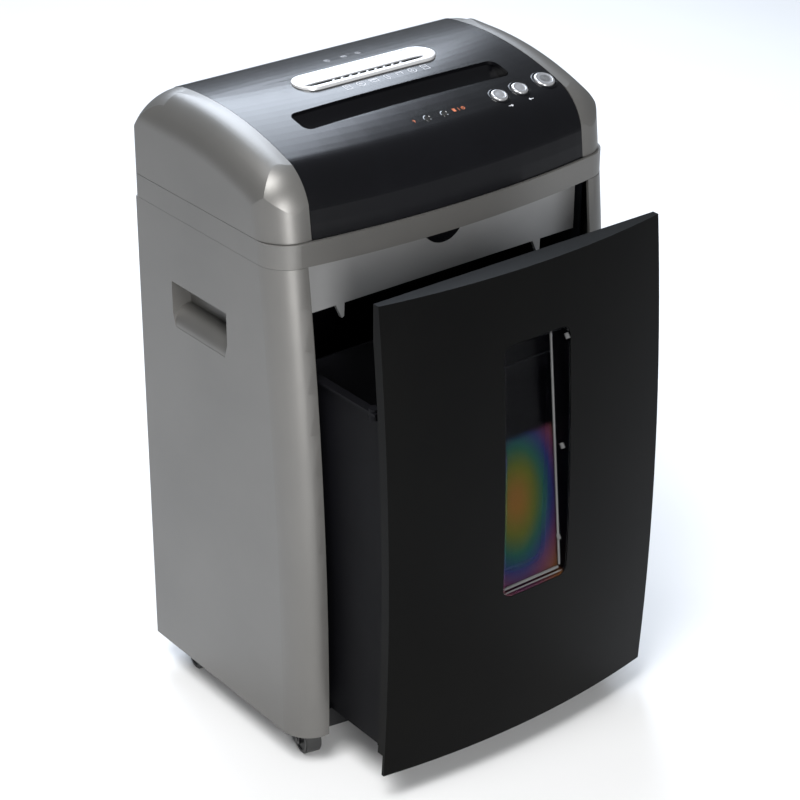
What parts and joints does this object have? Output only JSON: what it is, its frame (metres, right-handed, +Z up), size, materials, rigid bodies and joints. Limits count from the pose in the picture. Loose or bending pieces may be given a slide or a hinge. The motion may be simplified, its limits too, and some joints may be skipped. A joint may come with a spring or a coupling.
{
  "type": "paper shredder",
  "caption": "Office paper and disc shredder on swivel casters, with a bowed pull-out bin, window, arched cover, controls and geared cutters.",
  "frame": {"origin": "bottom centre of the bounding box on the floor, with the bin at its part-open rest position", "axes": "+Z up; +X along the paper slot to the operator's right as they face the door; the door and controls face -Y"},
  "size_m": [0.38, 0.3458, 0.6057],
  "materials": {
    "satin_silver": "satin metallic paint on a plastic moulding",
    "grey_resin": "satin grey plastic",
    "satin_black": "satin black plastic",
    "door_black": "satin black paint",
    "bin_black": "dull black plastic",
    "dark_liner": "dull dark plastic",
    "bright_steel": "plated",
    "dark_steel": "oiled",
    "white_resin": "greased nylon",
    "bronze": "sintered",
    "bright_trim": "satin silver paint",
    "button_silver": "satin silver paint",
    "circuit_board": "green board",
    "lamp_lens": "dark glossy lens",
    "clear_window": "clear moulded plastic",
    "wheel_black": "hard black nylon"
  },
  "bodies": {
    "cabinet": {"left_side_panel": "satin_silver", "right_side_panel": "satin_silver", "left_liner": "dark_liner", "right_liner": "dark_liner", "rear_panel": "satin_black", "base_plate": "satin_black", "bin_rails": "dark_liner", "cabinet_screws": "bright_steel", "lower_housing": "grey_resin", "trim_band": "satin_silver", "top_cover": "satin_black", "left_end_cap": "satin_silver", "right_end_cap": "satin_silver", "disc_slot_bezel": "bright_trim", "paper_throat": "satin_black", "disc_throat": "satin_black", "indicator_lenses": "lamp_lens", "control_board": "circuit_board", "power_board": "circuit_board", "entry_sensor": "satin_black", "bin_sensor": "satin_black", "door_catch": "satin_black", "power_inlet": "satin_black", "left_frame_plate": "bright_steel", "right_frame_plate": "bright_steel", "tie_rods": "bright_steel", "front_stripper_comb": "dark_steel", "rear_stripper_comb": "dark_steel", "shaft_bushes": "bronze", "motor_body": "dark_steel", "gear_plate": "bright_steel", "gear_pins": "bright_steel"},
    "motor_rotor": {"motor_rotor": "bright_steel"},
    "first_gear": {"first_gear": "white_resin"},
    "second_gear": {"second_gear": "white_resin"},
    "rear_cutter": {"rear_cutter": "dark_steel", "main_gear": "dark_steel", "rear_sync_gear": "dark_steel"},
    "front_cutter": {"front_cutter": "dark_steel", "front_sync_gear": "dark_steel"},
    "disc_front_cutter": {"disc_front_cutter": "dark_steel"},
    "disc_rear_cutter": {"disc_rear_cutter": "dark_steel"},
    "power_button": {"power_button": "button_silver"},
    "forward_button": {"forward_button": "button_silver"},
    "reverse_button": {"reverse_button": "button_silver"},
    "bin": {"bin_tub": "bin_black", "bin_divider": "bin_black", "door_skin": "door_black", "door_backing": "bin_black", "window": "clear_window", "bin_magnet": "bright_steel", "door_screws": "bright_steel"},
    "caster_fork_fl": {"caster_fork_fl": "satin_black"},
    "caster_wheel_fl": {"caster_wheel_fl": "wheel_black"},
    "caster_fork_fr": {"caster_fork_fr": "satin_black"},
    "caster_wheel_fr": {"caster_wheel_fr": "wheel_black"},
    "caster_fork_rl": {"caster_fork_rl": "satin_black"},
    "caster_wheel_rl": {"caster_wheel_rl": "wheel_black"},
    "caster_fork_rr": {"caster_fork_rr": "satin_black"},
    "caster_wheel_rr": {"caster_wheel_rr": "wheel_black"}
  },
  "joints": [
    {"name": "rear_cutter_spin", "type": "hinge", "parent": "cabinet", "child": "rear_cutter", "pos_m": [0, 0.038, 0.5], "axis": [1, 0, 0], "continuous": true},
    {"name": "front_cutter_spin", "type": "hinge", "parent": "cabinet", "child": "front_cutter", "pos_m": [0, -0.002, 0.5], "axis": [1, 0, 0], "continuous": true},
    {"name": "disc_front_spin", "type": "hinge", "parent": "cabinet", "child": "disc_front_cutter", "pos_m": [0, 0.0665, 0.53862], "axis": [1, 0, 0], "continuous": true},
    {"name": "disc_rear_spin", "type": "hinge", "parent": "cabinet", "child": "disc_rear_cutter", "pos_m": [0, 0.0915, 0.53862], "axis": [1, 0, 0], "continuous": true},
    {"name": "motor_spin", "type": "hinge", "parent": "cabinet", "child": "motor_rotor", "pos_m": [0, 0.128, 0.488], "axis": [1, 0, 0], "continuous": true},
    {"name": "first_gear_spin", "type": "hinge", "parent": "cabinet", "child": "first_gear", "pos_m": [0, 0.10953, 0.51164], "axis": [1, 0, 0], "continuous": true},
    {"name": "second_gear_spin", "type": "hinge", "parent": "cabinet", "child": "second_gear", "pos_m": [0, 0.08071, 0.49177], "axis": [1, 0, 0], "continuous": true},
    {"name": "power_press", "type": "slide", "parent": "cabinet", "child": "power_button", "axis": [0, 0.3088, -0.9511], "range_m": [0, 0.0015], "stiffness_N_per_m": 600},
    {"name": "forward_press", "type": "slide", "parent": "cabinet", "child": "forward_button", "axis": [0, 0.3088, -0.9511], "range_m": [0, 0.0015], "stiffness_N_per_m": 600},
    {"name": "reverse_press", "type": "slide", "parent": "cabinet", "child": "reverse_button", "axis": [0, 0.3088, -0.9511], "range_m": [0, 0.0015], "stiffness_N_per_m": 600},
    {"name": "swivel_fl", "type": "hinge", "parent": "cabinet", "child": "caster_fork_fl", "pos_m": [-0.161, -0.033, 0.031], "axis": [0, 0, 1], "continuous": true},
    {"name": "roll_fl", "type": "hinge", "parent": "caster_fork_fl", "child": "caster_wheel_fl", "pos_m": [-0.16308, -0.04278, 0.015], "axis": [0.9781, -0.2079, 0], "continuous": true},
    {"name": "swivel_fr", "type": "hinge", "parent": "cabinet", "child": "caster_fork_fr", "pos_m": [0.161, -0.033, 0.031], "axis": [0, 0, 1], "continuous": true},
    {"name": "roll_fr", "type": "hinge", "parent": "caster_fork_fr", "child": "caster_wheel_fr", "pos_m": [0.16442, -0.0424, 0.015], "axis": [0.9397, 0.342, 0], "continuous": true},
    {"name": "swivel_rl", "type": "hinge", "parent": "cabinet", "child": "caster_fork_rl", "pos_m": [-0.161, 0.145, 0.031], "axis": [0, 0, 1], "continuous": true},
    {"name": "roll_rl", "type": "hinge", "parent": "caster_fork_rl", "child": "caster_wheel_rl", "pos_m": [-0.16239, 0.1351, 0.015], "axis": [0.9903, -0.1392, 0], "continuous": true},
    {"name": "swivel_rr", "type": "hinge", "parent": "cabinet", "child": "caster_fork_rr", "pos_m": [0.161, 0.145, 0.031], "axis": [0, 0, 1], "continuous": true},
    {"name": "roll_rr", "type": "hinge", "parent": "caster_fork_rr", "child": "caster_wheel_rr", "pos_m": [0.16359, 0.13534, 0.015], "axis": [0.9659, 0.2588, 0], "continuous": true},
    {"name": "bin_slide", "type": "slide", "parent": "cabinet", "child": "bin", "axis": [0, -1, 0], "range_m": [-0.083, 0.14]}
  ],
  "couplings": [
    {"joint": "front_cutter_spin", "follows": "rear_cutter_spin", "ratio": -1},
    {"joint": "disc_front_spin", "follows": "rear_cutter_spin", "ratio": -2.2},
    {"joint": "disc_rear_spin", "follows": "rear_cutter_spin", "ratio": 2.2},
    {"joint": "second_gear_spin", "follows": "rear_cutter_spin", "ratio": -3.1429},
    {"joint": "first_gear_spin", "follows": "rear_cutter_spin", "ratio": 9.4286},
    {"joint": "motor_spin", "follows": "rear_cutter_spin", "ratio": -37.714}
  ]
}
